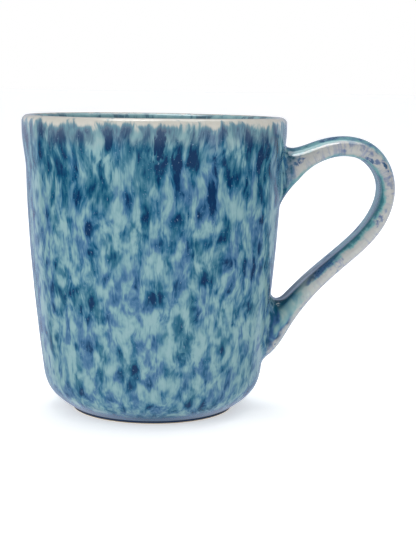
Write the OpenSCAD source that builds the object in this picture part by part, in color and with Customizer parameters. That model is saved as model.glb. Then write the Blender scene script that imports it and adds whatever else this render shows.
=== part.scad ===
/* [Cup] */
// Height of the cup from the table to the top of the lip
cup_h = 98; // [90:1:110]
// Outer radius of the lip
rim_r = 44; // [41:0.5:48]
// How far the lip flares out beyond the neck below it
flare = 1.4; // [0:0.1:2.5]
// How much narrower the wall is at the heel than at the neck
taper = 5.6; // [2:0.1:8]
// Height of the heel, where the wall starts to turn under
heel_h = 14; // [10:0.5:18]
// Outer radius of the bare foot ring
foot_r = 27; // [24:0.5:29]
// Inner radius of the bare foot ring
foot_inner_r = 22; // [18:0.5:23]

/* [Walls] */
// Thickness of the lip, glaze included
lip_t = 4; // [3.4:0.1:5]
// Thickness of the wall at the heel, glaze included
wall_t = 4.8; // [4.2:0.1:6]
// Height of the cup's floor, glaze included
floor_z = 7; // [6:0.5:9]
// Thickness of the glaze coat
glaze_t = 0.5; // [0.4:0.1:0.8]
// How far the pale lip band runs down the outside
lip_band_out = 4; // [3:0.5:8]
// How far the pale lip band runs down the inside
lip_band_in = 3; // [2.5:0.5:6]

/* [Handle] */
// Distance the handle's centre line stands out from its upper root
handle_reach = 38.5; // [34:0.5:42]
// Height of the handle's centre line, lowest point to highest
handle_rise = 67; // [60:1:70]
// Scale of the strap's width
strap_width = 15; // [12:0.5:18]
// Scale of the strap's thickness
strap_t = 6.6; // [5.5:0.1:8]
// Depth of the finger groove along the broad faces, as a part of the thickness
groove = 0.1; // [0:0.01:0.2]
// How far the slip is smoothed out around each root
slip_spread = 1.2; // [0.6:0.1:1.6]

/* [Hidden] */
$fn = 96;

// Cup wall: the neck is where the flare starts to leave the straight of the wall
neck_r = rim_r - flare;
neck_z = 0.84 * cup_h;
flare_z = [0.81 * cup_h, 0.95 * cup_h];
taper_power = 1.6;
lip_r = lip_t / 2;
foot_h = 1;
foot_lip = 0.6;
heel_pull = 7.3;
underside_pull = 7;
underside_angle = 35;
recess_h = 2;
recess_slope = 1;
corner_h = 12;
corner_pull = 7.5;
bore_drop = 1;
slope_gap = 1;
wall_steps = 20;
curve_steps = 10;

// Handle: each row of the centre line is
// [out, up, thickness, width] as parts of the reach, the rise and the two strap scales.
// The first and last rows lie deep in the wall, and the rows next to them are the roots.
handle_root_x = 39.5;
handle_low_z = 22;
handle_rows = [
    [-0.22, 0.80, 3.00, 1.13],
    [0, 0.85, 3.00, 1.13],
    [0.23, 0.92, 1.35, 1.03],
    [0.40, 0.97, 1.09, 1],
    [0.56, 1, 1.07, 1],
    [0.82, 0.97, 1.06, 1],
    [1, 0.82, 0.92, 1],
    [0.91, 0.63, 0.97, 1],
    [0.61, 0.44, 0.94, 1],
    [0.34, 0.30, 0.98, 1.03],
    [0.07, 0.125, 1.44, 1.13],
    [-0.10, 0, 1.92, 1.33],
    [-0.25, -0.075, 1.20, 1.20]
];
row_steps = 4;
strap_sides = 24;
strap_squareness = 2.6;
tangent_gap = 0.05;
slip_steps = 5;
slip_feather = 0.15;

// Smooth step from 0 to 1
function ease(t) =
    let (u = min(1, max(0, t)))
    u * u * (3 - 2 * u);

// Point on the cubic Bezier curve through a and d with the control points b and c
function bezier(a, b, c, d, t) =
    pow(1 - t, 3) * a + 3 * t * pow(1 - t, 2) * b + 3 * t * t * (1 - t) * c + pow(t, 3) * d;

function unit(v) = v / norm(v);

// Outer radius of the glazed wall at the height z
function wall_r(z) =
    let (below = max(0, neck_z - z) / (neck_z - heel_h))
    neck_r - taper * pow(below, taper_power)
        + flare * ease((z - flare_z[0]) / (flare_z[1] - flare_z[0]));

// Inner radius of the glazed wall at the height z
function bore_r(z) = wall_r(z) - wall_t + (wall_t - lip_t) * (z - heel_h) / (cup_h - heel_h);

// Slope of the wall at the heel, as a direction pointing down
heel_down = unit([wall_r(heel_h) - wall_r(heel_h + slope_gap), -slope_gap]);
heel_top = [wall_r(heel_h), heel_h];
heel_foot = [foot_r + foot_lip, foot_h];
wall_top = cup_h - lip_r;

heel_pts = [
    for (i = [0:curve_steps])
        bezier(heel_foot,
               heel_foot + underside_pull * [cos(underside_angle), sin(underside_angle)],
               heel_top + heel_pull * heel_down,
               heel_top,
               i / curve_steps)
];
wall_pts = [
    for (i = [1:wall_steps])
        let (z = heel_h + (wall_top - heel_h) * i / wall_steps)
        [wall_r(z), z]
];
lip_pts = [
    for (i = [1:curve_steps])
        [rim_r - lip_r, wall_top] + lip_r * [cos(180 * i / curve_steps), sin(180 * i / curve_steps)]
];
bore_top = wall_top - bore_drop;
bore_foot = floor_z + corner_h;
bore_pts = [
    for (i = [0:wall_steps])
        let (z = bore_top + (bore_foot - bore_top) * i / wall_steps)
        [bore_r(z), z]
];
floor_edge = [bore_r(bore_foot) - corner_h, floor_z];
floor_pts = [
    for (i = [1:curve_steps])
        bezier(bore_pts[wall_steps],
               bore_pts[wall_steps] - [0, corner_pull],
               floor_edge + [corner_pull, 0],
               floor_edge,
               i / curve_steps)
];

// The glazed surface from the foot, up the outside, over the lip and down to the floor's centre
skin = concat(heel_pts, wall_pts, lip_pts, bore_pts, floor_pts, [[0, floor_z]]);
last = len(skin) - 1;

// The direction out of the clay at each point of the skin
function skin_normal(i) =
    i == last ? [0, 1] :
    let (along = unit(skin[i + 1] - skin[max(0, i - 1)]))
    [along[1], -along[0]];

// The clay surface under the glaze
clay = [for (i = [0:last]) skin[i] - glaze_t * skin_normal(i)];

// Places on the skin where the lip band starts and ends
band_start = max([for (i = [0:last / 2]) if (skin[i][1] < cup_h - lip_band_out) i]);
band_end = min([for (i = [last / 2:last]) if (skin[i][1] < cup_h - lip_band_in) i]);
crown = curve_steps + wall_steps + curve_steps / 2;

// Catmull-Rom curve through the handle's rows, s from 0 to the last row
row_last = len(handle_rows) - 1;
last_step = row_last * row_steps;
root_step = row_steps;
tail_step = last_step - row_steps;
function row(i) =
    i < 0 ? 2 * handle_rows[0] - handle_rows[1] :
    i > row_last ? 2 * handle_rows[row_last] - handle_rows[row_last - 1] :
    handle_rows[i];
function row_at(s) =
    let (i = min(row_last - 1, floor(s)), u = s - i,
         a = row(i - 1), b = row(i), c = row(i + 1), d = row(i + 2))
    0.5 * (2 * b + (c - a) * u + (2 * a - 5 * b + 4 * c - d) * u * u
        + (3 * b - a - 3 * c + d) * u * u * u);
function centre(s) =
    let (r = row_at(s))
    [handle_root_x + handle_reach * r[0], handle_low_z + handle_rise * r[1]];

// Closed ring of points around the strap at s, its surface moved out by grow
function ring(s, grow) =
    let (r = row_at(s), c = centre(s),
         along = unit(centre(min(row_last, s + tangent_gap)) - centre(max(0, s - tangent_gap))),
         half_t = strap_t * r[2] / 2 + grow,
         half_w = strap_width * r[3] / 2 + grow)
    [
        for (k = [0:strap_sides - 1])
            let (a = 360 * k / strap_sides,
                 y = half_w * sign(cos(a)) * pow(abs(cos(a)), 2 / strap_squareness),
                 hollow = 1 - groove * pow(1 - pow(y / half_w, 2), 2),
                 t = half_t * hollow * sign(sin(a)) * pow(abs(sin(a)), 2 / strap_squareness))
            [c[0] - along[1] * t, y, c[1] + along[0] * t]
    ];

// Solid through a list of rings
module loft(rings) {
    n = len(rings[0]);
    top = len(rings) - 1;
    polyhedron(
        points = [for (r = rings, p = r) p],
        faces = concat(
            [[for (k = [0:n - 1]) k]],
            [for (j = [0:top - 1], k = [0:n - 1])
                let (m = (k + 1) % n)
                each [
                    [j * n + k, (j + 1) * n + k, (j + 1) * n + m],
                    [j * n + k, (j + 1) * n + m, j * n + m]
                ]],
            [[for (k = [n - 1:-1:0]) top * n + k]]
        ),
        convexity = 6
    );
}

// The strap from step i_a to step i_b of its length, with its surface moved out by grow
module strap(grow, i_a = 0, i_b = last_step) {
    loft([for (i = [i_a:i_b]) ring(i / row_steps, grow)]);
}

// How far slip stands out from the strap, full at the root and feathered out slip_steps away from it
function slip_grow(steps_out) =
    slip_feather + slip_spread * pow(1 - max(0, steps_out) / slip_steps, 2);

module upper_slip() {
    loft([for (i = [1:root_step + slip_steps]) ring(i / row_steps, slip_grow(i - root_step))]);
}

module lower_slip() {
    loft([for (i = [tail_step - slip_steps:last_step - 1]) ring(i / row_steps, slip_grow(tail_step - i))]);
}

// The cup's clay with its hollow filled in
module filled_clay() {
    rotate_extrude()
        polygon(concat([[0, 0], [foot_r, 0]], [for (i = [0:crown]) clay[i]], [[0, clay[crown][1]]]));
}

// The coat of glaze between two places on the skin
module coat(first, end) {
    rotate_extrude()
        polygon(concat([for (i = [first:end]) skin[i]], [for (i = [end:-1:first]) clay[i]]));
}

module cup_body() {
    color("tan")
        rotate_extrude()
            polygon(concat(
                [[foot_inner_r, 0], [foot_r, 0]],
                clay,
                [[0, recess_h], [foot_inner_r - recess_slope, recess_h]]
            ));
}

module handle() {
    color("wheat")
        difference() {
            strap(-glaze_t);
            filled_clay();
        }
}

module upper_slip_joint() {
    color("teal")
        difference() {
            upper_slip();
            filled_clay();
            strap(-glaze_t);
        }
}

module lower_slip_joint() {
    color("teal")
        difference() {
            lower_slip();
            filled_clay();
            strap(-glaze_t);
        }
}

module outer_glaze() {
    color("cadetblue")
        difference() {
            coat(0, band_start);
            upper_slip();
            lower_slip();
        }
}

module inner_glaze() {
    color("lightseagreen")
        coat(band_end, last);
}

module lip_glaze() {
    color("beige")
        coat(band_start, band_end);
}

module handle_glaze() {
    color("lightblue")
        difference() {
            strap(0, root_step + slip_steps, tail_step - slip_steps);
            strap(-glaze_t);
        }
}

cup_body();
handle();
upper_slip_joint();
lower_slip_joint();
outer_glaze();
inner_glaze();
lip_glaze();
handle_glaze();
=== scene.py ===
"""A glazed ceramic mug with a pulled handle, in metres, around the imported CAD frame."""
import math

import bpy
import numpy as np
from mathutils import Matrix, Vector


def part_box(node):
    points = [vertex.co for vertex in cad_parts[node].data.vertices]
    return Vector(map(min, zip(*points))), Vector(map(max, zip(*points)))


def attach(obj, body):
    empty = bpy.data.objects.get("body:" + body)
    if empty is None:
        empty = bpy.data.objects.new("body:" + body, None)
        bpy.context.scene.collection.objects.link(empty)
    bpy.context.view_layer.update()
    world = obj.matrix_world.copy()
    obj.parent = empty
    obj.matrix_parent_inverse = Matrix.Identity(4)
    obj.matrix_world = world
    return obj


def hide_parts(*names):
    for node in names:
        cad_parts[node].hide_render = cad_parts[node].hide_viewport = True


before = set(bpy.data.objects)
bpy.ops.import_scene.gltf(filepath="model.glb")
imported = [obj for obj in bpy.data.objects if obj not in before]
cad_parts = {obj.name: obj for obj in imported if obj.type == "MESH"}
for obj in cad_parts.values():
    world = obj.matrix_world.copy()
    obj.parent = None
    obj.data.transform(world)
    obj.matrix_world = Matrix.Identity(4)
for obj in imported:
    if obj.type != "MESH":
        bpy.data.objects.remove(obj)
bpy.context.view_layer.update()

# ---------------------------------------------------------------- sizes, from the frame
MM = 0.001
LIP_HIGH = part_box("lip_glaze")[1]

CUP_H = LIP_HIGH[2]
RIM_R = LIP_HIGH[0]
FLARE = 1.4 * MM
TAPER = 5.6 * MM
HEEL_H = 14 * MM
FOOT_R = 27 * MM
LIP_T = 4 * MM
WALL_T = 4.8 * MM
FLOOR_Z = 7 * MM

# The cup's profile follows the same rules as the CAD's
NECK_R = RIM_R - FLARE
NECK_Z = 0.84 * CUP_H
FLARE_Z = (0.81 * CUP_H, 0.95 * CUP_H)
TAPER_POWER = 1.6
LIP_R = LIP_T / 2
HEEL_PULL = 7.3 * MM
UNDERSIDE_PULL = 7 * MM
UNDERSIDE_ANGLE = math.radians(35)
HEEL_FOOT = (FOOT_R + 0.6 * MM, 1 * MM)
CORNER_H = 12 * MM
CORNER_PULL = 7.5 * MM
BAND_OUT = 4 * MM
BAND_IN = 3 * MM

# The strap's centre line: out, up, thickness and width, as parts of the four sizes below.
# The rows began as a least-squares fit to the photograph's outline and were then changed.
REACH, RISE, STRAP_T, STRAP_W = 38.5 * MM, 67 * MM, 6.6 * MM, 15 * MM
ROOT_X, LOW_Z = 39.5 * MM, 22 * MM
STRAP_ROWS = np.array([
    (-0.22, 0.80, 3.00, 1.13),
    (0, 0.85, 3.05, 1.13),
    (0.23, 0.915, 1.54, 1.03),
    (0.40, 0.963, 1.16, 1),
    (0.56, 0.987, 1.12, 1),
    (0.82, 0.959, 1.12, 1),
    (0.9845, 0.82, 0.95, 1),
    (0.914, 0.628, 1.01, 1),
    (0.613, 0.438, 1.01, 1),
    (0.345, 0.297, 1.10, 1.03),
    (0.08, 0.124, 1.48, 1.13),
    (-0.11, 0, 1.82, 1.30),
    (-0.25, -0.075, 1.20, 1.20),
])
SQUARE_OUTSIDE, SQUARE_INSIDE = 2.1, 2.3
GROOVE_INSIDE = 0.30
UPPER_SEAM, LOWER_SEAM = 24 * MM, 38 * MM
ROOT_SEARCH = 36 * MM
ROOT_SEARCH_STEPS = 801
TANGENT_GAP = 0.2 * MM

# Fillets where the strap meets the wall
FILLET_ON_STRAP = 3.0 * MM
FILLET_ON_WALL = 1.8 * MM
UPPER_CROTCH = 5.0 * MM
LOWER_CROTCH = 6.5 * MM
UPPER_LIFT = 1.8 * MM
CROTCH_LIFT = 6.8 * MM
EDGE_SINK = 0.02 * MM

# Unevenness of a hand-made mug, always inside the CAD's surfaces
WALL_WOBBLE = 0.28 * MM
BORE_WOBBLE = 0.2 * MM
LIP_DIP = 0.15 * MM
OUTER_SEED, BORE_SEED = 4, 9

# Mesh density
TURNS = 288
STRAP_SIDES = 64
MIDDLE_ROWS = 150
ROOT_ROWS = 14
FILLET_ROWS = 14
HEEL_POINTS, WALL_POINTS, LIP_POINTS = 33, 130, 25
BORE_POINTS, CORNER_POINTS, FLOOR_POINTS = 60, 25, 14
FLOOR_HOLE = 0.4 * MM
SHELL_T = 0.45 * MM

# Camera
SENSOR = 36
CAMERA_LENS = 84.36
EYE_DISTANCE = 0.420
EYE_HEIGHT = 0.1073
YAW = math.radians(2.508)
PITCH = math.radians(8.168)
ROLL = math.radians(0.887)


# ---------------------------------------------------------------- curves
def ease(t):
    u = np.clip(t, 0, 1)
    return u * u * (3 - 2 * u)


def bezier(a, b, c, d, t):
    a, b, c, d = (np.asarray(p, float) for p in (a, b, c, d))
    t = np.asarray(t)[:, None]
    return (1 - t) ** 3 * a + 3 * t * (1 - t) ** 2 * b + 3 * t * t * (1 - t) * c + t ** 3 * d


def wall_r(z):
    below = np.maximum(0, NECK_Z - z) / (NECK_Z - HEEL_H)
    flared = FLARE * ease((z - FLARE_Z[0]) / (FLARE_Z[1] - FLARE_Z[0]))
    return NECK_R - TAPER * below ** TAPER_POWER + flared


def bore_r(z):
    return wall_r(z) - WALL_T + (WALL_T - LIP_T) * (z - HEEL_H) / (CUP_H - HEEL_H)


def skin_profile():
    """The glazed surface from the foot up the outside, over the lip and down to the floor's centre."""
    down = np.array([wall_r(HEEL_H) - wall_r(HEEL_H + MM), -MM])
    down /= np.hypot(*down)
    top = np.array([wall_r(HEEL_H), HEEL_H])
    foot = np.array(HEEL_FOOT)
    rise = UNDERSIDE_PULL * np.array([math.cos(UNDERSIDE_ANGLE), math.sin(UNDERSIDE_ANGLE)])
    heel = bezier(foot, foot + rise, top + HEEL_PULL * down, top, np.linspace(0, 1, HEEL_POINTS))
    z = np.linspace(HEEL_H, CUP_H - LIP_R, WALL_POINTS)[1:]
    wall = np.stack([wall_r(z), z], 1)
    a = np.linspace(0, math.pi, LIP_POINTS)[1:]
    lip = np.stack([RIM_R - LIP_R + LIP_R * np.cos(a), CUP_H - LIP_R + LIP_R * np.sin(a)], 1)
    z = np.linspace(CUP_H - LIP_R - MM, FLOOR_Z + CORNER_H, BORE_POINTS)
    bore = np.stack([bore_r(z), z], 1)
    edge = np.array([bore[-1][0] - CORNER_H, FLOOR_Z])
    share = np.linspace(0, 1, CORNER_POINTS)[1:]
    corner = bezier(bore[-1], bore[-1] - (0, CORNER_PULL), edge + (CORNER_PULL, 0), edge, share)
    r = np.linspace(edge[0], FLOOR_HOLE, FLOOR_POINTS)[1:]
    floor = np.stack([r, np.full(len(r), FLOOR_Z)], 1)
    return np.concatenate([heel, wall, lip, bore, corner, floor])


def natural_spline(knots, values):
    """A smooth curve through the values at the knots, straight at its ends. Returns a function of places."""
    step = np.diff(knots)
    count = len(knots)
    left = np.eye(count)
    right = np.zeros((count, values.shape[1]))
    for i in range(1, count - 1):
        left[i, i - 1:i + 2] = (step[i - 1], 2 * (step[i - 1] + step[i]), step[i])
        right[i] = 6 * ((values[i + 1] - values[i]) / step[i] - (values[i] - values[i - 1]) / step[i - 1])
    bend = np.linalg.solve(left, right)

    def at(places):
        i = np.clip(np.searchsorted(knots, places) - 1, 0, count - 2)
        h = step[i][:, None]
        a = (knots[i + 1] - places)[:, None]
        b = (places - knots[i])[:, None]
        curved = (bend[i] * a ** 3 + bend[i + 1] * b ** 3) / (6 * h)
        return curved + (values[i] / h - bend[i] * h / 6) * a + (values[i + 1] / h - bend[i + 1] * h / 6) * b

    return at


def wobble(theta, z, seed, depth):
    """A slow unevenness of a thrown wall, from 0 to -depth, smooth round the full turn."""
    rng = np.random.default_rng(seed)
    total = np.zeros(np.broadcast(theta, z).shape)
    for waves in (1, 2, 3, 5):
        phase = rng.uniform(0, 2 * math.pi)
        climb = CUP_H / rng.uniform(1.5, 7)
        total += np.sin(waves * theta + phase + z / climb) / waves
    rings = 0.12 * np.sin(z / (2.3 * MM) + 0.8 * np.sin(theta))
    return -depth * (0.5 + 0.5 * np.clip(total / 2 + rings, -1, 1))


def outer_wobble(theta, z):
    """How far the visible outer wall lies inside the CAD's, fading out at the foot."""
    return wobble(theta, z, OUTER_SEED, WALL_WOBBLE) * ease((z - 3 * MM) / (12 * MM))


def outer_skin_r(theta, z):
    """Radius of the visible outer wall."""
    return wall_r(z) + outer_wobble(theta, z)


# ---------------------------------------------------------------- mesh helpers
def grid_faces(rows, cols):
    """Quads over a grid of points that is closed in its columns, facing out of the cup or strap."""
    i, j = np.meshgrid(np.arange(rows - 1), np.arange(cols), indexing="ij")
    k = (j + 1) % cols
    return np.stack([i * cols + j, i * cols + k, (i + 1) * cols + k, (i + 1) * cols + j], -1).reshape(-1, 4)


def grid_normals(grid):
    """A unit normal at each point of such a grid."""
    along = np.gradient(grid, axis=0)
    across = np.roll(grid, -1, 1) - np.roll(grid, 1, 1)
    n = np.cross(across, along)
    return n / np.maximum(np.linalg.norm(n, axis=2, keepdims=True), 1e-12)


def make_piece(name, verts, faces, normals, material, replaces, attributes=None):
    mesh = bpy.data.meshes.new(name)
    mesh.from_pydata([tuple(v) for v in verts], [], [tuple(int(i) for i in f) for f in faces])
    mesh.polygons.foreach_set("use_smooth", [True] * len(mesh.polygons))
    for key, values in (attributes or {}).items():
        mesh.attributes.new(key, "FLOAT", "POINT").data.foreach_set("value", np.asarray(values, np.float32))
    mesh.update()
    mesh.normals_split_custom_set_from_vertices([tuple(n) for n in normals])
    mesh.materials.append(material)
    piece = bpy.data.objects.new(name, mesh)
    bpy.context.scene.collection.objects.link(piece)
    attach(piece, "root")
    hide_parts(*replaces)
    return piece


def shell(grid, normals, thickness, close_last=True):
    """A shell: the grid, a second grid under it along the normals, and a strip round each open end."""
    rows, cols = grid.shape[:2]
    count = rows * cols
    verts = np.concatenate([grid.reshape(-1, 3), (grid - normals * thickness).reshape(-1, 3)])
    top = grid_faces(rows, cols)
    j = np.arange(cols)
    k = (j + 1) % cols
    first = np.stack([k, j, j + count, k + count], 1)
    end = count - cols
    last = np.stack([end + j, end + k, end + k + count, end + j + count], 1)
    faces = [top, top[:, ::-1] + count, first] + ([last] if close_last else [])
    flat = normals.reshape(-1, 3)
    return verts, np.concatenate(faces), np.concatenate([flat, -flat])


# ---------------------------------------------------------------- the cup
def cup_grid():
    """The whole glazed surface as a grid of points, with its normals and its profile."""
    profile = skin_profile()
    crown = int(np.argmax(profile[:, 1]))
    theta = np.linspace(0, 2 * math.pi, TURNS, endpoint=False)
    t = np.repeat(theta[None], len(profile), 0)
    r = np.repeat(profile[:, :1], TURNS, 1)
    z = np.repeat(profile[:, 1:], TURNS, 1)
    outside = np.arange(len(profile))[:, None] <= crown
    outer = outer_wobble(t, z)
    inner = wobble(t, z, BORE_SEED, BORE_WOBBLE) * ease((z - FLOOR_Z - 2 * MM) / (10 * MM))
    near_lip = ease((z - CUP_H + 12 * MM) / (9 * MM))
    r = r + np.where(outside, outer, inner * (1 - near_lip) + outer * near_lip)
    z = z - LIP_DIP * (0.5 + 0.5 * np.sin(2 * t + 0.7)) * ease((z - CUP_H + 6 * MM) / (6 * MM))
    grid = np.stack([r * np.cos(t), r * np.sin(t), z], -1)
    return grid, grid_normals(grid), profile, crown


def build_cup(materials):
    """The outer glaze, the lip glaze and the inner glaze, cut from one surface."""
    grid, normals, profile, crown = cup_grid()
    heights = profile[:, 1]
    band_start = max(i for i in range(crown) if heights[i] < CUP_H - BAND_OUT)
    band_end = min(i for i in range(crown, len(heights)) if heights[i] < CUP_H - BAND_IN)
    cuts = (
        ("outside_glaze", 0, band_start, "mottled_glaze", "outer_glaze"),
        ("lip_band", band_start, band_end, "pale_glaze", "lip_glaze"),
    )
    for name, first, last, slot, node in cuts:
        verts, faces, n = shell(grid[first:last + 1], normals[first:last + 1], SHELL_T)
        make_piece(name, verts, faces, n, materials["cup"], [node])
    build_inside(grid[band_end:], normals[band_end:], materials["inside"])


def build_inside(grid, normals, material):
    """The inner glaze, its floor closed by a fan on each side of the shell."""
    verts, faces, n = shell(grid, normals, SHELL_T, close_last=False)
    faces = [tuple(f) for f in faces]
    rows, cols = grid.shape[:2]
    count = rows * cols
    centre = len(verts)
    verts = np.concatenate([verts, [(0, 0, FLOOR_Z), (0, 0, FLOOR_Z - SHELL_T)]])
    n = np.concatenate([n, [(0, 0, 1), (0, 0, -1)]])
    for j in range(cols):
        k = (j + 1) % cols
        a, b = count - cols + j, count - cols + k
        faces.append((a, b, centre))
        faces.append((b + count, a + count, centre + 1))
    make_piece("inside_glaze", verts, faces, n, material, ["inner_glaze"])


# ---------------------------------------------------------------- the strap
STRAP_SCALE = np.array([REACH, RISE, STRAP_T / 2, STRAP_W / 2])
STRAP_POINTS = STRAP_ROWS * STRAP_SCALE + (ROOT_X, LOW_Z, 0, 0)
STRAP_KNOTS = np.concatenate([[0], np.cumsum(np.linalg.norm(np.diff(STRAP_POINTS[:, :2], axis=0), axis=1))])
STRAP_LENGTH = STRAP_KNOTS[-1]
STRAP_CURVE = natural_spline(STRAP_KNOTS, STRAP_POINTS)


def strap_section():
    """The strap's cross-section: its share of the half width and of the half thickness at each side."""
    a = np.linspace(0, 2 * math.pi, STRAP_SIDES, endpoint=False)
    power = 2 / np.where(np.sin(a) < 0, SQUARE_INSIDE, SQUARE_OUTSIDE)
    side = np.sign(np.cos(a)) * np.abs(np.cos(a)) ** power
    face = np.sign(np.sin(a)) * np.abs(np.sin(a)) ** power
    return side, face


def strap_ring(places):
    """Points of the strap's rings at the places along it: an array of (place, side, xyz)."""
    row = STRAP_CURVE(places)
    ahead = STRAP_CURVE(np.minimum(places + TANGENT_GAP, STRAP_LENGTH))
    behind = STRAP_CURVE(np.maximum(places - TANGENT_GAP, 0))
    along = (ahead - behind)[:, :2]
    along = along / np.linalg.norm(along, axis=1, keepdims=True)
    side, face = strap_section()
    groove = np.where(face < 0, GROOVE_INSIDE, 0) * (1 - side ** 2) ** 2
    y = row[:, 3:] * side
    t = row[:, 2:3] * face * (1 - groove)
    return np.stack([row[:, :1] - along[:, 1:] * t, y, row[:, 1:2] + along[:, :1] * t], -1)


def depth_in_wall(p):
    """How far outside the outer skin a point is; below zero it is in the wall."""
    return np.hypot(p[..., 0], p[..., 1]) - outer_skin_r(np.arctan2(p[..., 1], p[..., 0]), p[..., 2])


def on_wall(p, lift):
    """The point of the outer skin beside p, lifted off it."""
    theta = np.arctan2(p[..., 1], p[..., 0])
    r = outer_skin_r(theta, p[..., 2]) + lift
    return np.stack([r * np.cos(theta), r * np.sin(theta), p[..., 2]], -1)


def root_places(upper):
    """Where each side of the strap meets the skin, as a place along it for each side."""
    near_end = np.linspace(0, ROOT_SEARCH, ROOT_SEARCH_STEPS)
    places = near_end if upper else STRAP_LENGTH - near_end
    outside = depth_in_wall(strap_ring(places)) > 0
    first = len(places) - np.argmax(~outside[::-1], axis=0)
    return places[np.minimum(first, len(places) - 1)]


def strap_points(places):
    """The strap's point at each side, where each side has its own place along the strap."""
    return np.array([strap_ring(places[k:k + 1])[0, k] for k in range(STRAP_SIDES)])


def root_rows(upper):
    """Rows of points from the edge of the fillet on the wall, over the fillet, to the strap's seam."""
    seam = UPPER_SEAM if upper else STRAP_LENGTH - LOWER_SEAM
    contact_places = root_places(upper)
    contact = strap_points(contact_places)
    inside = np.clip(-strap_section()[1], 0, 1)
    crotch = (UPPER_CROTCH if upper else LOWER_CROTCH) * inside
    start_places = contact_places + np.sign(seam - contact_places) * (FILLET_ON_STRAP + crotch)
    start = strap_points(start_places)
    tangent = np.roll(contact, -1, 0) - np.roll(contact, 1, 0)
    away = np.cross(tangent, contact * (1, 1, 0))
    away *= np.sign(np.sum(away * (contact - contact.mean(0)), axis=1, keepdims=True))
    away /= np.linalg.norm(away, axis=1, keepdims=True)
    lift = (UPPER_LIFT if upper else CROTCH_LIFT) * inside
    corner = contact + away * lift[:, None]
    edge = on_wall(contact + away * (FILLET_ON_WALL + lift)[:, None], -EDGE_SINK)
    u = np.linspace(0, 1, FILLET_ROWS)[:, None]
    near_wall = (edge + 2 * corner) / 3
    near_strap = (start + 2 * contact) / 3
    fillet = bezier(edge, near_wall, near_strap, start, u)
    run = np.linspace(0, 1, ROOT_ROWS)[1:, None]
    places = start_places + run * (seam - start_places)
    return np.concatenate([fillet, [strap_points(row) for row in places]])


def capped_tube(grid, normals):
    """A tube of rings closed by a fan of triangles at each end."""
    rows, sides = grid.shape[:2]
    verts = np.concatenate([grid.reshape(-1, 3), [grid[0].mean(0), grid[-1].mean(0)]])
    faces = [tuple(f) for f in grid_faces(rows, sides)]
    low, high, end = rows * sides, rows * sides + 1, (rows - 1) * sides
    for j in range(sides):
        k = (j + 1) % sides
        faces.append((k, j, low))
        faces.append((end + j, end + k, high))
    out = grid[-1].mean(0) - grid[-2].mean(0)
    back = grid[0].mean(0) - grid[1].mean(0)
    caps = np.array([back / np.linalg.norm(back), out / np.linalg.norm(out)])
    return verts, faces, np.concatenate([normals.reshape(-1, 3), caps])


def build_strap(materials):
    """The strap and its two roots, cut from one surface that runs from wall to wall."""
    upper, lower = root_rows(True), root_rows(False)[::-1]
    middle = strap_ring(np.linspace(UPPER_SEAM, STRAP_LENGTH - LOWER_SEAM, MIDDLE_ROWS))
    grid = np.concatenate([upper, middle[1:-1], lower])
    normals = grid_normals(grid)
    for end in (0, -1):
        flat = grid[end] * (1, 1, 0)
        normals[end] = flat / np.linalg.norm(flat, axis=1, keepdims=True)
    centre = grid.mean(1)
    steps = np.linalg.norm(np.diff(centre, axis=0), axis=1)
    run = np.concatenate([[0], np.cumsum(steps)]) / MM
    side, face = strap_section()
    shape = grid.shape[:2]
    marks = {
        "run": np.broadcast_to(run[:, None], shape),
        "side": np.broadcast_to(side[None], shape),
        "face": np.broadcast_to(face[None], shape),
        "out": np.maximum(depth_in_wall(grid), 0) / MM,
    }
    first = len(upper) - 1
    last = first + MIDDLE_ROWS - 1
    cuts = (
        ("upper_root", 0, first, "slip", ["upper_slip_joint"]),
        ("strap", first, last, "handle_glaze", ["handle", "handle_glaze"]),
        ("lower_root", last, len(grid) - 1, "slip", ["lower_slip_joint"]),
    )
    for name, i, j, slot, nodes in cuts:
        verts, faces, n = capped_tube(grid[i:j + 1], normals[i:j + 1])
        values = {}
        for key, mark in marks.items():
            piece_marks = mark[i:j + 1]
            ends = [piece_marks[0].mean(), piece_marks[-1].mean()]
            values[key] = np.concatenate([piece_marks.reshape(-1), ends])
        make_piece(name, verts, faces, n, materials["strap"], nodes, values)


# ---------------------------------------------------------------- materials
def srgb(r, g, b):
    """A linear colour from 8-bit display values."""
    def linear(v):
        v /= 255
        return v / 12.92 if v <= 0.04045 else ((v + 0.055) / 1.055) ** 2.4
    return (linear(r), linear(g), linear(b), 1)


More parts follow.
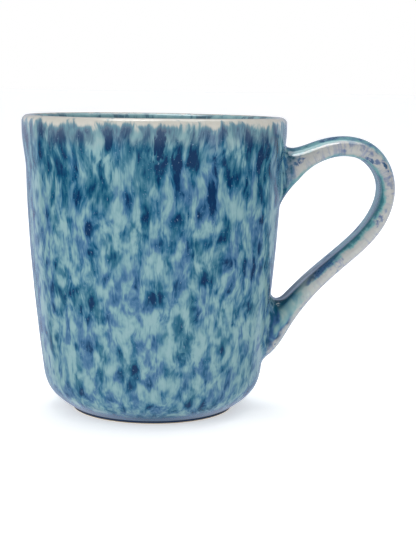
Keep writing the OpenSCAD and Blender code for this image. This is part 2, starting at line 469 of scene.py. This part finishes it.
class Graph:
    """A node material, built by calls that return sockets."""

    def __init__(self, name, owner=None):
        self.owner = owner or bpy.data.materials.new(name)
        self.owner.use_nodes = True
        self.tree = self.owner.node_tree
        self.tree.nodes.clear()

    def node(self, kind, settings=None, **inputs):
        n = self.tree.nodes.new(kind)
        for key, value in (settings or {}).items():
            setattr(n, key, value)
        for key, value in inputs.items():
            self.set(n.inputs[key.replace("_", " ")], value)
        return n

    def set(self, socket, value):
        if isinstance(value, bpy.types.NodeSocket):
            self.tree.links.new(value, socket)
        else:
            socket.default_value = value

    def math(self, operation, *values):
        n = self.node("ShaderNodeMath", {"operation": operation})
        for socket, value in zip(n.inputs, values):
            self.set(socket, value)
        return n.outputs[0]

    def vector(self, operation, *values):
        n = self.node("ShaderNodeVectorMath", {"operation": operation})
        for socket, value in zip(n.inputs, values):
            self.set(socket, value)
        return n.outputs[0]

    def add(self, a, b):
        return self.math("ADD", a, b)

    def times(self, a, b):
        return self.math("MULTIPLY", a, b)

    def noise(self, vector, scale, detail=2.0, roughness=0.5, distortion=0.0, colour=False):
        n = self.node("ShaderNodeTexNoise", {"noise_dimensions": "3D"}, Vector=vector, Scale=scale,
                      Detail=detail, Roughness=roughness, Distortion=distortion)
        return n.outputs["Color" if colour else "Fac"]

    def millimetres(self):
        """The place on the object, in millimetres."""
        place = self.node("ShaderNodeTexCoord").outputs["Object"]
        return self.vector("MULTIPLY", place, (1 / MM, 1 / MM, 1 / MM))

    def split(self, vector):
        return self.node("ShaderNodeSeparateXYZ", Vector=vector).outputs[:3]

    def join(self, x, y, z):
        return self.node("ShaderNodeCombineXYZ", X=x, Y=y, Z=z).outputs[0]

    def centred(self, value):
        return self.math("SUBTRACT", value, 0.5)

    def stretch(self, vector, x, y, z):
        return self.vector("MULTIPLY", vector, (x, y, z))

    def step(self, value, low, high, to_low=0.0, to_high=1.0):
        """A smooth step of the value from low to high."""
        n = self.node("ShaderNodeMapRange", {"interpolation_type": "SMOOTHSTEP"}, Value=value)
        for key, v in (("From Min", low), ("From Max", high), ("To Min", to_low), ("To Max", to_high)):
            self.set(n.inputs[key], v)
        return n.outputs[0]

    def ramp(self, value, stops):
        n = self.node("ShaderNodeValToRGB", Fac=value)
        ramp = n.color_ramp
        while len(ramp.elements) < len(stops):
            ramp.elements.new(0.5)
        for element, (place, colour) in zip(ramp.elements, stops):
            element.position = place
            element.color = colour
        return n.outputs["Color"]

    def mix(self, share, a, b, blend="MIX"):
        n = self.node("ShaderNodeMix", {"data_type": "RGBA", "blend_type": blend})
        self.set(n.inputs[0], share)
        self.set(n.inputs[6], a)
        self.set(n.inputs[7], b)
        return n.outputs[2]

    def mark(self, name):
        return self.node("ShaderNodeAttribute", {"attribute_name": name}).outputs["Fac"]

    def finish(self, colour, roughness, bump=None, bump_depth=0.05 * MM, coat=0.0):
        shader = self.node("ShaderNodeBsdfPrincipled")
        self.set(shader.inputs["Base Color"], colour)
        self.set(shader.inputs["Roughness"], roughness)
        shader.inputs["IOR"].default_value = 1.5
        shader.inputs["Coat Weight"].default_value = coat
        shader.inputs["Coat Roughness"].default_value = 0.04
        if bump is not None:
            n = self.node("ShaderNodeBump", Height=bump, Strength=1.0, Distance=bump_depth)
            self.set(shader.inputs["Normal"], n.outputs["Normal"])
        out = self.node("ShaderNodeOutputMaterial")
        self.tree.links.new(shader.outputs[0], out.inputs["Surface"])
        return self.owner


# Glaze colours, from where it lies thinnest to thickest
CREAM = srgb(214, 213, 205)
CREAM_WARM = srgb(200, 195, 182)
FILM = srgb(142, 176, 180)
AQUA = srgb(120, 160, 168)
SLATE = srgb(99, 141, 160)
BLUE = srgb(72, 121, 148)
COBALT = srgb(42, 101, 133)
NAVY = srgb(10, 76, 112)
INK = srgb(2, 46, 86)
TEAL = srgb(58, 128, 138)
TEAL_DEEP = srgb(8, 74, 96)
FRINGE = srgb(66, 108, 146)
# Pale specks: partly pale flecks in the glaze, partly painted pinpoint highlights
SPECK_AND_GLINT = srgb(132, 162, 186)
LINER = srgb(156, 198, 200)
INDIGO = srgb(80, 108, 156)

# The strap's own colours, and a painted reflection for the far strip of its inner face
STRAP_CREAM = srgb(194, 194, 189)
STRAP_GREY = srgb(171, 172, 169)
STRAP_BAND = srgb(134, 144, 170)
STRAP_FILM = srgb(122, 172, 174)
STRAP_AQUA = srgb(112, 166, 174)
STRAP_BLUE = srgb(66, 100, 142)
STRAP_SPOT = srgb(84, 108, 150)
# The far strip's pale lavender: a painted reflection of the bright backdrop, not the glaze's own colour
PAINTED_FAR_REFLECTION = srgb(150, 182, 194)
PAINTED_FAR_REFLECTION_LOW = srgb(178, 190, 208)
ROOT_WASH = (
    (0.08, srgb(172, 186, 182)),
    (0.30, srgb(132, 168, 170)),
    (0.50, srgb(98, 144, 160)),
    (0.66, srgb(60, 98, 142)),
    (0.84, srgb(22, 70, 104)),
)

# Clay and table
CLAY_DARK = srgb(188, 172, 146)
CLAY_LIGHT = srgb(214, 200, 174)
CLAY_SPECK = srgb(112, 84, 58)
TABLE_WHITE = srgb(246, 246, 246)

# How far below the lip, in mm, the glaze ran the most
LONG_RUNS = 28

# The heaviest drips: angle round the cup in degrees, height, half width and half length in mm, lean, gain.
# The angles and heights began as places worked out from the photograph by a scratch program.
DRIPS = (
    (-55, 90, 2.2, 8, 0.1, 0.14),
    (-40, 90, 1.6, 6, 0.0, 0.09),
    (-30, 91, 1.6, 6, 0.1, 0.09),
    (-23, 82, 1.5, 6, -0.4, 0.13),
    (-18, 91, 1.5, 7, 0.5, 0.13),
    (-35, 81, 1.8, 3, 0.0, 0.12),
    (2, 91.5, 1.8, 6.5, 0.05, 0.42),
    (9, 86, 1.8, 6, 0.0, 0.14),
    (16, 90, 1.8, 7, 0.1, 0.13),
    (25, 76, 2.0, 11, 0.0, 0.19),
    (32, 80, 1.5, 8, -0.3, 0.12),
    (41, 91, 1.8, 6, 0.0, 0.16),
    (50, 86, 1.8, 10, 0.0, 0.16),
    (55, 66, 1.6, 16, 0.0, 0.16),
)

# Spots on the strap: place along it in mm, level across its side, half length in mm, half width, gain
STRAP_SPOTS = (
    (8.0, 0.15, 1.8, 0.22, 0.7),
    (6.0, -0.05, 1.2, 0.30, 0.45),
    (19.0, 0.88, 3.4, 0.12, 0.7),
    (22.0, -0.4, 1.5, 0.40, 0.3),
    (25.5, 0.55, 1.6, 0.40, 0.34),
    (28.5, 0.6, 1.4, 0.40, 0.34),
    (32.8, -0.40, 2.2, 0.20, 0.75),
    (35.4, -0.05, 1.6, 0.20, 0.5),
    (38.2, 0.33, 2.2, 0.16, 0.95),
    (42.5, 0.1, 1.5, 0.40, 0.36),
    (44.5, 0.3, 0.9, 0.50, 0.34),
    (57.0, -0.1, 2.2, 0.42, 0.55),
    (81.0, -0.45, 4.5, 0.32, 0.7),
)


class Fields:
    """Sockets that the parts of one glaze share, by name."""


def glaze_drips(g, arc, height, fray):
    """Extra glaze load along each of the heaviest drips."""
    total = 0.0
    for angle, middle, half_width, half_length, lean, gain in DRIPS:
        above = g.add(height, -middle)
        beside = g.add(g.add(arc, -math.radians(angle) * RIM_R / MM), g.times(above, -lean))
        across = g.math("POWER", g.math("ABSOLUTE", g.times(beside, 1 / half_width)), 2.0)
        along = g.math("POWER", g.math("ABSOLUTE", g.times(above, 1 / half_length)), 2.0)
        off = g.add(g.add(across, along), fray)
        total = g.add(total, g.step(off, 1.3, 0.1, 0.0, gain))
    return total


def glaze_layers(g, top, drips):
    """The mottled glaze of the cup's wall. Returns its fields, with its colour among them."""
    w = Fields()
    w.mm = g.millimetres()
    w.x, w.y, w.height = g.split(w.mm)
    drift = g.noise(g.stretch(w.mm, 1, 1, 0.5), 1 / 8, 2, 0.5, colour=True)
    drift = g.vector("SUBTRACT", drift, (0.5, 0.5, 0.5))
    flow_x, flow_y, flow_z = g.split(g.vector("ADD", w.mm, g.stretch(drift, 6, 6, 3)))
    near_lip = g.math("MAXIMUM", g.add(flow_z, LONG_RUNS - top), 0.0)
    w.flow = g.join(flow_x, flow_y, g.add(flow_z, g.times(near_lip, -0.28)))
    w.streaks = g.centred(g.noise(g.stretch(w.flow, 1, 1, 0.24), 1 / 1.2, 3, 0.62))
    w.hairs = g.centred(g.noise(g.stretch(w.flow, 1, 1, 0.12), 1 / 0.55, 2, 0.6))
    blobs = g.centred(g.noise(g.stretch(w.flow, 1, 1, 0.58), 1 / 3.4, 2.0, 0.55))
    squashed = g.stretch(w.flow, 1, 1, 0.58)
    cells = g.node("ShaderNodeTexVoronoi", Vector=squashed, Scale=1 / 4.5, Randomness=0.9)
    size = g.split(cells.outputs["Color"])[0]
    near = g.add(cells.outputs["Distance"], g.times(w.streaks, 1.1))
    flecks = g.times(g.step(near, 0.62, 0.12), g.add(0.35, g.times(size, 0.65)))
    clouds = g.centred(g.noise(g.stretch(w.mm, 1, 1, 0.6), 1 / 15, 1, 0.5))
    upper = g.step(w.height, top - 34, top - 4)
    load = g.add(g.times(blobs, 0.75), g.times(g.add(flecks, -0.28), 0.20))
    load = g.add(g.add(load, 0.52), g.times(w.streaks, 0.38))
    load = g.add(load, g.times(w.hairs, 0.22))
    load = g.add(load, g.times(clouds, 0.14))
    load = g.add(load, g.times(upper, 0.05))
    load = g.add(load, g.step(w.height, 52, 30, 0.0, -0.045))
    load = g.add(load, g.step(w.height, 16, 5, 0.0, 0.055))
    if drips:
        arc = g.times(g.math("ARCTAN2", w.x, g.times(w.y, -1)), RIM_R / MM)
        load = g.add(load, glaze_drips(g, arc, w.height, g.times(w.streaks, 5)))
    w.thick = g.step(load, 0.30, 0.72)
    colour = g.ramp(w.thick, [(0.0, FILM), (0.18, AQUA), (0.36, SLATE), (0.54, BLUE), (0.72, COBALT),
                            (0.88, NAVY), (1.0, INK)])
    family = g.noise(g.stretch(w.mm, 1, 1, 0.4), 1 / 7, 1, 0.5)
    family = g.add(family, g.times(upper, 0.15))
    middle_tone = g.step(g.math("ABSOLUTE", g.add(w.thick, -0.6)), 0.45, 0.1)
    indigo = g.times(g.step(family, 0.52, 0.38, 0.0, 0.34), middle_tone)
    teal = g.times(g.step(family, 0.52, 0.66, 0.0, 0.42), middle_tone)
    colour = g.mix(indigo, colour, INDIGO)
    colour = g.mix(teal, colour, g.mix(w.thick, TEAL, TEAL_DEEP))
    # Pale specks in the thick glaze: partly flecks in the glaze, partly painted pinpoint highlights
    specks = g.step(g.noise(g.stretch(w.mm, 1, 1, 0.7), 1 / 0.5, 1, 0.5), 0.66, 0.78, 0.0, 0.5)
    w.colour = g.mix(g.times(specks, g.step(w.thick, 0.35, 0.75)), colour, SPECK_AND_GLINT)
    return w


def cup_glaze():
    """Mottled on the wall, cream where it thins over the lip, and dark in a line at the foot: partly pooled
    glaze, partly painted shade where the heel turns under.
    """
    top = CUP_H / MM
    g = Graph("cup_glaze")
    w = glaze_layers(g, top, True)
    radius = g.math("SQRT", g.add(g.times(w.x, w.x), g.times(w.y, w.y)))
    inner = g.step(radius, (RIM_R - 1.6 * MM) / MM, (RIM_R - 2.8 * MM) / MM)
    ragged = g.centred(g.noise(g.stretch(w.flow, 1, 1, 0.12), 1 / 3.0, 3, 0.6))
    ragged = g.add(ragged, g.times(w.hairs, 0.12))
    below = g.add(g.math("SUBTRACT", top, w.height), g.times(ragged, g.add(8, g.times(inner, -7))))
    reach = g.add(5.4, g.times(inner, -4.8))
    bare = g.step(g.math("DIVIDE", below, reach), 1.8, 0.1)
    crest = g.step(below, 4.6, 1.0)
    lined = g.times(inner, g.step(w.height, top - 10, top - 8))
    lined = g.times(lined, g.step(w.thick, 0.9, 0.7, 0.3, 0.66))
    colour = g.mix(lined, w.colour, LINER)
    colour = g.mix(g.times(bare, g.step(w.thick, 0.4, 0.8, 0.0, 0.38)), colour, FRINGE)
    bare = g.math("MAXIMUM", g.times(bare, g.step(w.thick, 1.05, 0.15, 0.1, 1.0)), g.times(crest, bare))
    cream = g.mix(g.noise(w.mm, 1 / 2.5, 3, 0.6), CREAM, CREAM_WARM)
    tinted = g.times(g.step(bare, 0.0, 0.45), g.step(bare, 1.0, 0.6))
    colour = g.mix(bare, colour, g.mix(g.times(tinted, 0.85), cream, AQUA))
    # Dark line at the foot: partly pooled glaze, partly painted shade where the heel turns under towards the
    # table
    colour = g.mix(g.step(w.height, 4.4, 2.0), colour, NAVY)
    pits = g.centred(g.noise(w.mm, 1 / 0.9, 1, 0.5))
    relief = g.add(g.times(w.streaks, 0.3), g.times(pits, 0.35))
    lip_roughness = g.step(w.height, top - 3, top - 1, 0.0, 0.10)
    roughness = g.add(g.step(w.hairs, -0.3, 0.3, 0.07, 0.13), lip_roughness)
    return g.finish(colour, roughness, relief, 0.035 * MM, coat=0.25)


def inside_glaze():
    """The liner: aqua, with dark runs from the lip that thin out on the way down, pooled teal on the floor."""
    top = CUP_H / MM
    g = Graph("inside_glaze")
    w = glaze_layers(g, top, False)
    lined = g.times(g.step(w.height, top - 12, top - 3), g.step(w.thick, 0.9, 0.7, 0.3, 0.7))
    colour = g.mix(lined, w.colour, LINER)
    colour = g.mix(g.step(w.height, top - 30, top - 60, 0.0, 0.45), colour, AQUA)
    colour = g.mix(g.step(w.height, FLOOR_Z / MM + 9, FLOOR_Z / MM + 0.2, 0.0, 0.6), colour, TEAL)
    pits = g.noise(w.mm, 1 / 0.9, 1, 0.5)
    return g.finish(colour, g.step(w.hairs, -0.3, 0.3, 0.14, 0.20), pits, 0.02 * MM, coat=0.15)


def strap_spots(g, run, face, side, fray):
    """Where the heaviest spots lie on the strap's side that faces the front."""
    total = 0.0
    for place, level, half_run, half_face, gain in STRAP_SPOTS:
        along = g.math("POWER", g.math("ABSOLUTE", g.times(g.add(run, -place), 1 / half_run)), 2.0)
        across = g.math("POWER", g.math("ABSOLUTE", g.times(g.add(face, -level), 1 / half_face)), 2.0)
        off = g.add(g.add(along, across), fray)
        total = g.math("MAXIMUM", total, g.step(off, 1.5, -0.6, 0.0, gain))
    return g.times(total, g.step(side, 0.3, 0.0))


def strap_fields(g):
    """The places on the strap and the noises that its glaze is mixed from."""
    w = glaze_layers(g, CUP_H / MM, False)
    w.run, w.side, w.face, w.out = g.mark("run"), g.mark("side"), g.mark("face"), g.mark("out")
    w.edge = g.add(g.math("ABSOLUTE", w.face), g.math("SUBTRACT", 1.0, g.math("ABSOLUTE", w.side)))
    drawn_out = g.join(g.times(w.run, 0.16), g.times(w.side, 2.5), g.times(w.face, 2.5))
    w.runs = g.centred(g.noise(drawn_out, 1.2, 3, 0.6, 0.4))
    w.blots = g.centred(g.noise(w.mm, 1 / 2.6, 1.6, 0.5))
    w.patch = g.centred(g.noise(w.mm, 1 / 11, 1, 0.5))
    w.swirl = g.centred(g.noise(g.stretch(w.mm, 1, 1, 0.6), 1 / 6, 2, 0.5, 1.2))
    w.past_arch = g.step(w.run, 30, 48)
    w.low = g.step(w.run, 68, 92)
    w.inner = g.step(w.face, 0.2, -0.4)
    w.outer = g.step(w.face, 0.1, 0.6)
    return w


def strap_film(g, w):
    """How thick the glaze lies: thin on the edges, thicker inside past the arch."""
    loose = g.join(g.times(w.run, 0.5), g.times(w.side, 0.5), g.times(w.face, 0.8))
    feather = g.centred(g.noise(loose, 0.8, 2, 0.55, 0.6))
    towards_inner = g.step(w.face, 0.6, -0.6)
    film = g.add(w.edge, g.add(g.times(w.runs, 1.0), g.times(w.blots, 0.7)))
    film = g.add(film, g.times(towards_inner, g.add(g.times(w.past_arch, 0.46), g.times(w.low, 0.24))))
    film = g.add(film, g.times(g.times(towards_inner, w.past_arch), g.times(feather, 1.6)))
    return g.add(film, g.times(w.outer, g.times(w.past_arch, -0.6)))


def strap_coat(g, w, film):
    """Cream banded with grey blue where the glaze is thin, aqua and teal where it is thick."""
    tight = g.join(g.times(w.run, 1.3), g.times(w.side, 0.6), g.times(w.face, 0.8))
    bands = g.noise(tight, 0.8, 3, 0.65)
    cream = g.mix(g.noise(w.mm, 1 / 2.2, 3, 0.6), STRAP_CREAM, STRAP_GREY)
    banded = g.times(g.step(bands, 0.47, 0.64), g.step(w.patch, -0.10, 0.06, 0.15, 0.7))
    cream = g.mix(banded, cream, STRAP_BAND)
    colour = g.mix(g.step(film, 0.46, 1.0), cream, STRAP_FILM)
    uneven = g.add(w.runs, g.times(w.blots, 0.5))
    streaked = g.add(film, g.times(uneven, g.times(w.outer, 3.0)))
    colour = g.mix(g.step(streaked, 0.72, 1.7), colour, g.mix(w.outer, TEAL, STRAP_AQUA))
    colour = g.mix(g.times(w.outer, g.step(streaked, 1.4, 2.5, 0.0, 0.85)), colour, TEAL_DEEP)
    return g.mix(g.times(w.inner, g.times(w.low, g.step(film, 0.72, 1.05))), colour, STRAP_BLUE)


def strap_hollow(g, w, film, colour):
    """The dark line in the hollow of the inner face, and beyond it a pale strip that is a painted reflection.
    """
    across = g.add(g.add(w.side, g.times(w.runs, 0.5)), g.times(w.low, -0.3))
    line = g.times(g.times(g.step(film, 1.0, 1.2), w.inner), g.step(across, 0.2, -0.2))
    depth = g.add(g.times(w.past_arch, 0.35), g.times(w.low, 0.45))
    colour = g.mix(g.times(line, depth), colour, TEAL_DEEP)
    colour = g.mix(g.times(g.times(line, w.low), 0.9), colour, INK)
    # The pale far strip: a painted reflection of the bright backdrop on the inner face's far edge
    far = g.times(g.times(w.inner, w.past_arch), g.step(across, -0.35, 0.15))
    far = g.times(far, g.step(w.out, 4, 13))
    return g.mix(g.times(far, 0.95), colour, g.mix(w.low, PAINTED_FAR_REFLECTION, PAINTED_FAR_REFLECTION_LOW))


def strap_blots(g, w, colour):
    """Random blue spots with dark middles, and the heaviest spots in their own places."""
    spots = g.add(g.add(w.blots, g.times(w.patch, 0.5)), g.step(w.edge, 0.3, 1.0, 0.0, 0.05))
    colour = g.mix(g.step(spots, 0.08, 0.30, 0.0, 0.8), colour, STRAP_SPOT)
    colour = g.mix(g.step(spots, 0.24, 0.46), colour, NAVY)
    fray = g.times(g.centred(g.noise(w.mm, 1 / 1.3, 2, 0.55)), 6)
    heavy = strap_spots(g, w.run, w.face, w.side, fray)
    spot_colour = g.mix(g.step(heavy, 0.3, 0.85), STRAP_SPOT, NAVY)
    return g.mix(g.step(heavy, 0.0, 0.6, 0.0, 0.9), colour, spot_colour)


def strap_root(g, w, colour):
    """A wash in the heavy glaze round the lower root, and dark in its crotch."""
    wash = g.step(g.add(w.out, g.times(w.swirl, 24)), 15, -4)
    root = g.times(g.step(g.add(w.out, g.times(w.blots, 10)), 16, 8), g.step(w.height, 52, 44))
    root = g.times(root, g.step(g.add(w.face, g.times(w.blots, 0.8)), 0.75, 0.25))
    colour = g.mix(root, colour, g.ramp(wash, ROOT_WASH))
    crotch = g.times(w.low, g.step(w.face, -0.4, -0.75))
    crotch = g.times(crotch, g.step(g.add(w.out, g.times(w.blots, 4)), 14, 6))
    return g.mix(g.times(crotch, 0.9), colour, TEAL_DEEP)


def strap_pools(g, w, colour):
    """Dark pools of glaze where the strap meets the wall."""
    streaky = g.centred(g.noise(g.stretch(w.mm, 0.6, 1, 0.25), 1 / 1.4, 2, 0.6))
    pooled = g.add(g.add(w.out, g.times(w.runs, 4)), g.step(w.height, 56, 66, 2.6, -0.8))
    pooled = g.add(pooled, g.times(streaky, g.step(w.height, 56, 70, 5, 8)))
    pooled = g.add(pooled, g.times(w.swirl, g.step(w.height, 56, 66, 9, 0)))
    pool_colour = g.mix(g.step(w.height, 56, 66), COBALT, BLUE)
    colour = g.mix(g.step(pooled, 5.5, 1.0, 0.0, 0.75), colour, pool_colour)
    deepest = g.times(g.step(pooled, 2.8, 0.2), g.step(w.face, 1.0, 0.5, 0.4, 1.0))
    return g.mix(deepest, colour, g.mix(g.step(streaky, 0.1, -0.1), NAVY, TEAL_DEEP))


def strap_glaze():
    """Cream where it thins over the edges, teal in the inner face's hollow and dark at the roots."""
    g = Graph("strap_glaze")
    w = strap_fields(g)
    film = strap_film(g, w)
    colour = strap_coat(g, w, film)
    colour = strap_hollow(g, w, film, colour)
    colour = strap_blots(g, w, colour)
    colour = strap_root(g, w, colour)
    colour = strap_pools(g, w, colour)
    # The mottled glaze of the wall carries on over the fillets' feet
    foot = g.step(g.add(w.out, g.times(g.add(w.streaks, g.times(w.blots, 0.8)), 4)), 1.7, 0.5)
    colour = g.mix(foot, colour, w.colour)
    return g.finish(colour, 0.08, g.centred(g.noise(w.mm, 1 / 0.9, 1, 0.5)), 0.03 * MM, coat=0.25)


def bare_clay():
    """Fine unglazed stoneware on the foot ring, dark round its outer edge: partly glaze stain, partly painted
    shadow where the foot meets the table.
    """
    g = Graph("bare_clay")
    mm = g.millimetres()
    grain = g.noise(mm, 1 / 0.35, 4, 0.7)
    specks = g.step(g.noise(mm, 1 / 0.8, 2, 0.6), 0.66, 0.72)
    colour = g.ramp(grain, [(0.3, CLAY_DARK), (0.7, CLAY_LIGHT)])
    colour = g.mix(g.times(specks, 0.6), colour, CLAY_SPECK)
    x, y, height = g.split(mm)
    radius = g.math("SQRT", g.add(g.times(x, x), g.times(y, y)))
    # Dark round the foot ring's outer edge: partly glaze stain, partly painted shadow
    stain_and_painted_shadow = g.times(g.step(height, 0.1, 0.4), g.step(radius, FOOT_R / MM - 1.5, FOOT_R / MM - 0.5))
    colour = g.mix(stain_and_painted_shadow, colour, INK)
    return g.finish(colour, g.step(grain, 0.3, 0.7, 0.62, 0.85), grain, 0.06 * MM)


# ---------------------------------------------------------------- the stage
# What a diffuse surface sees, and what the gloss reflects from behind, in front and below
AMBIENT = (0.55, 0.56, 0.58, 1)
BACKDROP_SIDE = (0.58, 0.63, 0.78, 1)
BACKDROP_RIGHT = (0.42, 0.47, 0.60, 1)
BACKDROP_MIDDLE = (0.32, 0.38, 0.52, 1)
ROOM_FRONT = (0.03, 0.035, 0.045, 1)
TABLE_GLOSS = (0.30, 0.36, 0.40, 1)
PANEL = (-0.2, -0.05, 0.978)
PANEL_EDGE = (0.962, 0.978)
PANEL_GLOSS = (7, 7, 7, 1)
TABLE_HALF = 30.0
TABLE_DROP = 0.02 * MM
TABLE_GLOW = 0.50


def build_stage():
    mesh = bpy.data.meshes.new("floor")
    half, low = TABLE_HALF, -TABLE_DROP
    corners = [(-half, -half, low), (half, -half, low), (half, half, low), (-half, half, low)]
    mesh.from_pydata(corners, [], [(0, 1, 2, 3)])
    floor = bpy.data.objects.new("floor", mesh)
    bpy.context.scene.collection.objects.link(floor)
    g = Graph("floor_paint")
    paint = g.finish(TABLE_WHITE, 0.9)
    shader = next(n for n in paint.node_tree.nodes if n.type == "BSDF_PRINCIPLED")
    shader.inputs["Emission Color"].default_value = (1, 1, 1, 1)
    shader.inputs["Emission Strength"].default_value = TABLE_GLOW
    floor.data.materials.append(paint)
    floor.visible_glossy = False


def add_light(name, place, target, size, power, colour=(1, 1, 1), glossy=True):
    light = bpy.data.lights.new(name, "AREA")
    light.shape = "RECTANGLE"
    light.size, light.size_y = size
    light.energy = power
    light.color = colour
    lamp = bpy.data.objects.new(name, light)
    lamp.location = place
    lamp.rotation_euler = (Vector(target) - Vector(place)).to_track_quat("-Z", "Y").to_euler()
    lamp.visible_glossy = glossy
    bpy.context.scene.collection.objects.link(lamp)


def build_lights():
    middle = (0, 0, CUP_H / 2)
    add_light("left_key", (-0.9, -1.0, 0.6), middle, size=(0.9, 0.9), power=4, glossy=False)
    add_light("top_soft", (0.1, 0.25, 1.2), middle, size=(1.0, 0.8), power=7)
    g = Graph("studio", bpy.data.worlds.new("studio"))
    bpy.context.scene.world = g.owner
    path = g.node("ShaderNodeLightPath")
    x, y, z = g.split(g.node("ShaderNodeTexCoord").outputs["Generated"])
    behind = g.mix(g.step(x, 0.0, 0.5), BACKDROP_SIDE, BACKDROP_RIGHT)
    behind = g.mix(g.step(y, 0.75, 1.0), behind, BACKDROP_MIDDLE)
    reflected = g.mix(g.step(z, -0.06, -0.5), ROOM_FRONT, TABLE_GLOSS)
    behind = g.mix(g.step(z, 0.15, 0.40, 0.0, 0.8), behind, ROOM_FRONT)
    reflected = g.mix(g.step(y, 0.50, 0.62), reflected, behind)
    towards_panel = g.add(g.add(g.times(x, PANEL[0]), g.times(y, PANEL[1])), g.times(z, PANEL[2]))
    reflected = g.mix(g.step(towards_panel, *PANEL_EDGE), reflected, PANEL_GLOSS)
    seen = g.mix(path.outputs["Is Glossy Ray"], AMBIENT, reflected)
    seen = g.mix(path.outputs["Is Camera Ray"], seen, (1, 1, 1, 1))
    background = g.node("ShaderNodeBackground", Color=seen, Strength=1.0)
    out = g.node("ShaderNodeOutputWorld")
    g.tree.links.new(background.outputs[0], out.inputs["Surface"])


def build_camera():
    """The photograph's viewing angle: level with the lip, near the mug, tipped down."""
    camera = bpy.data.cameras.new("camera")
    camera.sensor_width = SENSOR
    camera.lens = CAMERA_LENS
    camera.clip_start = 0.01
    eye = bpy.data.objects.new("camera", camera)
    bpy.context.scene.collection.objects.link(eye)
    ahead = Vector((math.sin(YAW) * math.cos(PITCH), math.cos(YAW) * math.cos(PITCH), -math.sin(PITCH)))
    right = Vector((math.cos(YAW), -math.sin(YAW), 0))
    up = right.cross(ahead)
    turned_right = right * math.cos(ROLL) + up * math.sin(ROLL)
    turned_up = up * math.cos(ROLL) - right * math.sin(ROLL)
    pose = Matrix((turned_right, turned_up, -ahead)).transposed().to_4x4()
    pose.translation = (0, -EYE_DISTANCE, EYE_HEIGHT)
    eye.matrix_world = pose
    bpy.context.scene.camera = eye


bpy.context.scene.view_settings.view_transform = "Standard"
glazes = {"cup": cup_glaze(), "inside": inside_glaze(), "strap": strap_glaze()}
build_cup(glazes)
build_strap(glazes)
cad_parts["cup_body"].material_slots[0].material = bare_clay()
build_stage()
build_lights()
build_camera()
